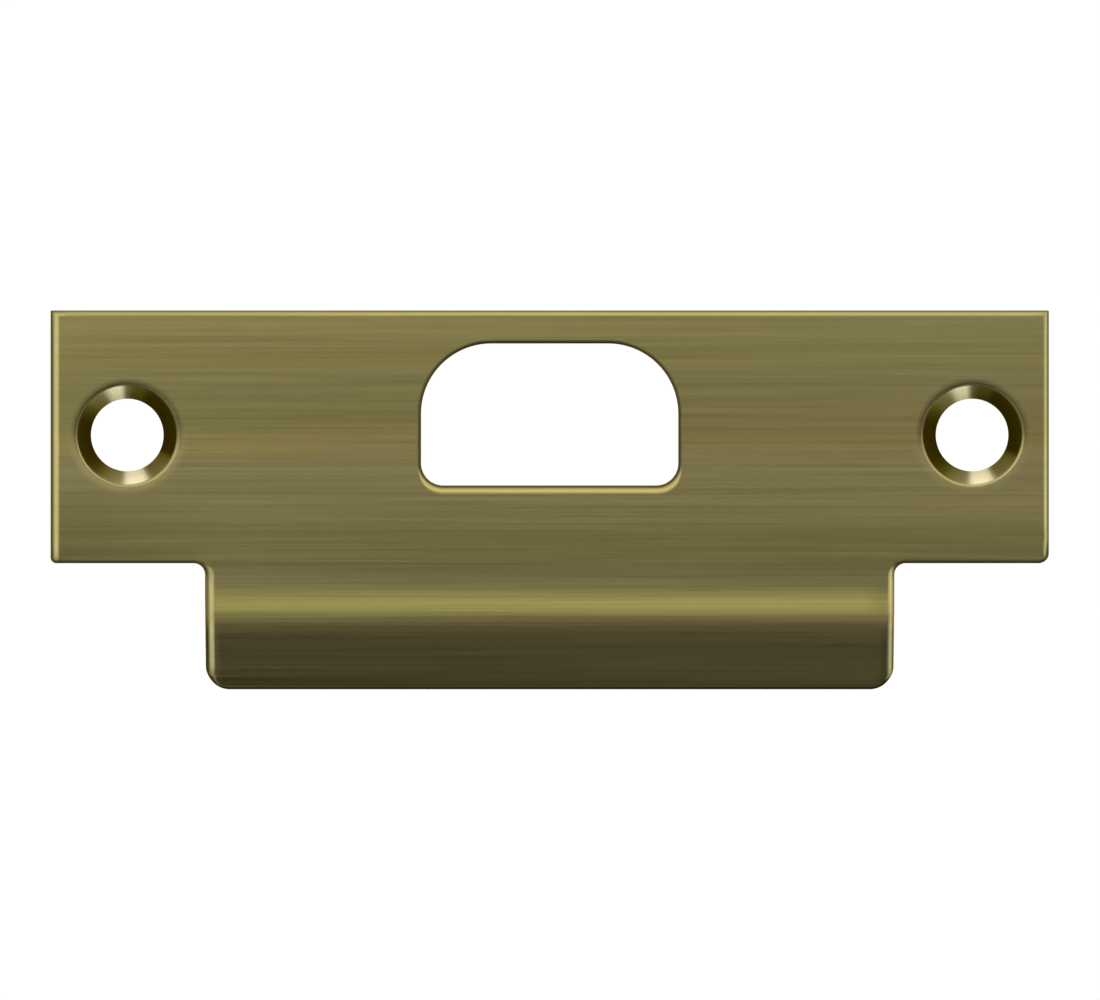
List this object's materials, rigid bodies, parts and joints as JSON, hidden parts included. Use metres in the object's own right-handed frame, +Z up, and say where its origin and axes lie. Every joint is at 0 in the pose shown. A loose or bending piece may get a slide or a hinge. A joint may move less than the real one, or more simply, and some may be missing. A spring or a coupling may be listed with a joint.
{
  "type": "door strike plate",
  "caption": "Flat brass strike plate for a door jamb, with a rounded latch opening, countersunk screw holes and a curved lip that guides the latch in",
  "frame": {"origin": "on the plane of the back face, midway between the screw holes", "axes": "as fixed to a jamb: +Z up along the plate's length, +X across it toward the lip, -Y out of the show face"},
  "size_m": [0.047, 0.0107, 0.1238],
  "materials": {
    "antique_brass": "brushed satin, aged"
  },
  "bodies": {
    "root": {"strike_plate": "antique_brass"}
  },
  "joints": []
}
